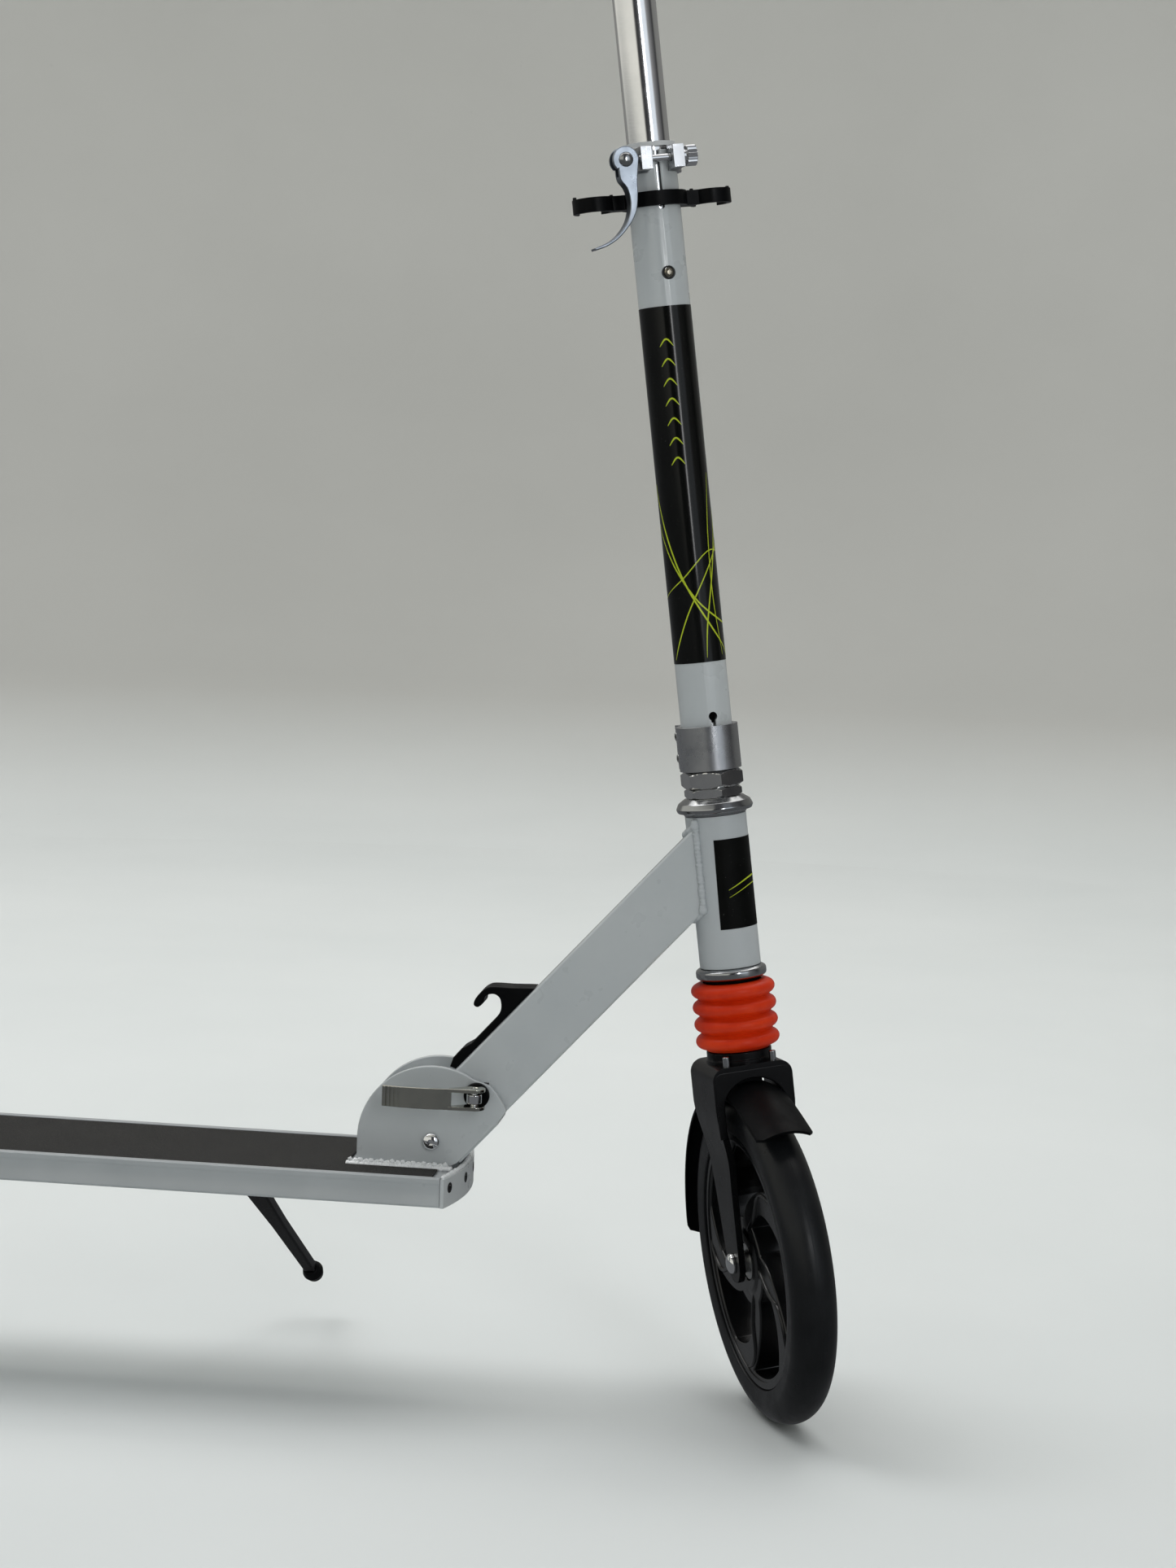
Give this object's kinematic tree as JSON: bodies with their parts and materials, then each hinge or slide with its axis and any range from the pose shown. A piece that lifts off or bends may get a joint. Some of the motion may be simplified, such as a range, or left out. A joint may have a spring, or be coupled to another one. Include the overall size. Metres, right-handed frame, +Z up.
{
  "type": "kick scooter",
  "caption": "Folding kick scooter with large wheels, sprung front fork under an orange bellows, quick-release stem, kickstand and flat deck.",
  "frame": {"origin": "middle of the footboard, on the grip tape's top face and the deck's mid-plane", "axes": "+X forward, +Y to the rider's left, +Z up; the steering stands turned 68 degrees to the right at rest"},
  "size_m": [0.8524, 0.2505, 0.9871],
  "materials": {
    "white_paint": "gloss white powder coat",
    "grip_tape": "dark grey grit",
    "white_plastic": "moulded white",
    "chrome": "bright plated",
    "steel": "zinc plated",
    "alloy": "machined",
    "black_paint": "gloss black",
    "black_plastic": "moulded black",
    "tyre_black": "cast polyurethane",
    "bellows_orange": "satin orange-red",
    "grip_foam": "soft matte black"
  },
  "bodies": {
    "deck": {"deck_frame": "white_paint", "grip_tape": "grip_tape", "deck_nose": "white_paint", "fold_plate_right": "white_paint", "fold_plate_left": "white_paint", "fold_pivot_bolt": "chrome", "fold_pivot_nut": "steel", "fold_skewer": "steel", "fold_skewer_washer": "black_plastic", "fold_skewer_nut": "steel", "fold_cam_pin": "chrome", "kickstand_bracket": "steel", "kickstand_bolt": "steel", "rear_fork": "white_paint", "rear_axle_bolt": "chrome", "rear_axle_nut": "steel", "fender_pin": "steel", "fender_spring": "steel"},
    "fold_lever": {"fold_lever": "chrome"},
    "kickstand": {"kickstand_leg": "black_paint", "kickstand_foot": "black_plastic"},
    "brake_fender": {"brake_fender": "black_plastic"},
    "rear_wheel": {"rear_hub": "black_plastic", "rear_tyre": "tyre_black", "rear_bearings": "steel"},
    "beam": {"beam_tube": "white_paint", "head_tube": "white_paint", "upper_cup": "chrome", "lower_cup": "chrome"},
    "finger_pull": {"finger_pull": "black_plastic"},
    "steering": {"steerer": "steel", "seal_ring": "black_plastic", "thin_nut": "chrome", "locknut": "chrome", "clamp_collar": "alloy", "collar_bolt_lower": "steel", "collar_bolt_upper": "steel", "column_tube": "white_paint", "stem_clamp": "alloy", "stem_bolt": "chrome", "stem_nut": "chrome", "stem_shim": "white_plastic", "handlebar_clip": "black_plastic", "suspension_spring": "steel", "bellows": "bellows_orange"},
    "stem_lever": {"stem_lever": "chrome"},
    "height_button": {"height_button": "steel"},
    "upper_stem": {"upper_tube": "chrome", "handlebar_tee": "black_paint"},
    "right_handle": {"handlebar_right": "chrome", "grip_right": "grip_foam"},
    "left_handle": {"handlebar_left": "chrome", "grip_left": "grip_foam"},
    "fork": {"fork": "black_paint", "mudguard": "black_plastic", "front_axle_bolt": "chrome", "front_axle_nut": "steel"},
    "front_wheel": {"front_hub": "black_plastic", "front_tyre": "tyre_black", "front_bearings": "steel"}
  },
  "joints": [
    {"name": "fold_hinge", "type": "hinge", "parent": "deck", "child": "beam", "pos_m": [0.1755, 0, 0.0157], "axis": [0, -1, 0], "range_deg": [0, 82]},
    {"name": "fold_lever_hinge", "type": "hinge", "parent": "deck", "child": "fold_lever", "pos_m": [0.2025, -0.0315, 0.04589], "axis": [0, 0, 1], "range_deg": [0, 150]},
    {"name": "finger_pull_slide", "type": "slide", "parent": "beam", "child": "finger_pull", "axis": [0.6665, 0, 0.7455], "range_m": [0, 0.008], "stiffness_N_per_m": 500, "springref_m": -0.006},
    {"name": "steering_hinge", "type": "hinge", "parent": "beam", "child": "steering", "pos_m": [0.3761, 0, -0.04601], "axis": [-0.1409, 0, 0.99], "range_deg": [-22, 158]},
    {"name": "height_slide", "type": "slide", "parent": "steering", "child": "upper_stem", "axis": [-0.1409, 0, 0.99], "range_m": [-0.15, 0]},
    {"name": "right_handle_slide", "type": "slide", "parent": "upper_stem", "child": "right_handle", "axis": [-0.9179, -0.3746, -0.1306], "range_m": [0, 0.038]},
    {"name": "left_handle_slide", "type": "slide", "parent": "upper_stem", "child": "left_handle", "axis": [0.9179, 0.3746, 0.1306], "range_m": [0, 0.038]},
    {"name": "stem_lever_hinge", "type": "hinge", "parent": "steering", "child": "stem_lever", "pos_m": [0.27072, -0.02725, 0.60413], "axis": [-0.3709, 0.9272, -0.0528], "range_deg": [0, 130]},
    {"name": "height_button_press", "type": "slide", "parent": "steering", "child": "height_button", "axis": [-0.3709, 0.9272, -0.0528], "range_m": [0, 0.0009], "stiffness_N_per_m": 900, "springref_m": -0.0015},
    {"name": "suspension_slide", "type": "slide", "parent": "steering", "child": "fork", "axis": [-0.1409, 0, 0.99], "range_m": [0, 0.015], "stiffness_N_per_m": 20000, "springref_m": -0.005, "deforming": ["suspension_spring", "bellows"]},
    {"name": "front_wheel_spin", "type": "hinge", "parent": "fork", "child": "front_wheel", "pos_m": [0.37981, -0.00927, -0.04548], "axis": [0.9179, 0.3746, 0.1306], "continuous": true},
    {"name": "rear_wheel_spin", "type": "hinge", "parent": "deck", "child": "rear_wheel", "pos_m": [-0.304, 0, -0.0446], "axis": [0, 1, 0], "continuous": true},
    {"name": "brake_hinge", "type": "hinge", "parent": "deck", "child": "brake_fender", "pos_m": [-0.206, 0, 0.0154], "axis": [0, -1, 0], "range_deg": [0, 3], "stiffness_Nm_per_rad": 1, "springref_deg": -20.05},
    {"name": "kickstand_hinge", "type": "hinge", "parent": "deck", "child": "kickstand", "pos_m": [0.053, 0.034, -0.0296], "axis": [0, 0.6145, 0.7889], "range_deg": [0, 98]}
  ]
}
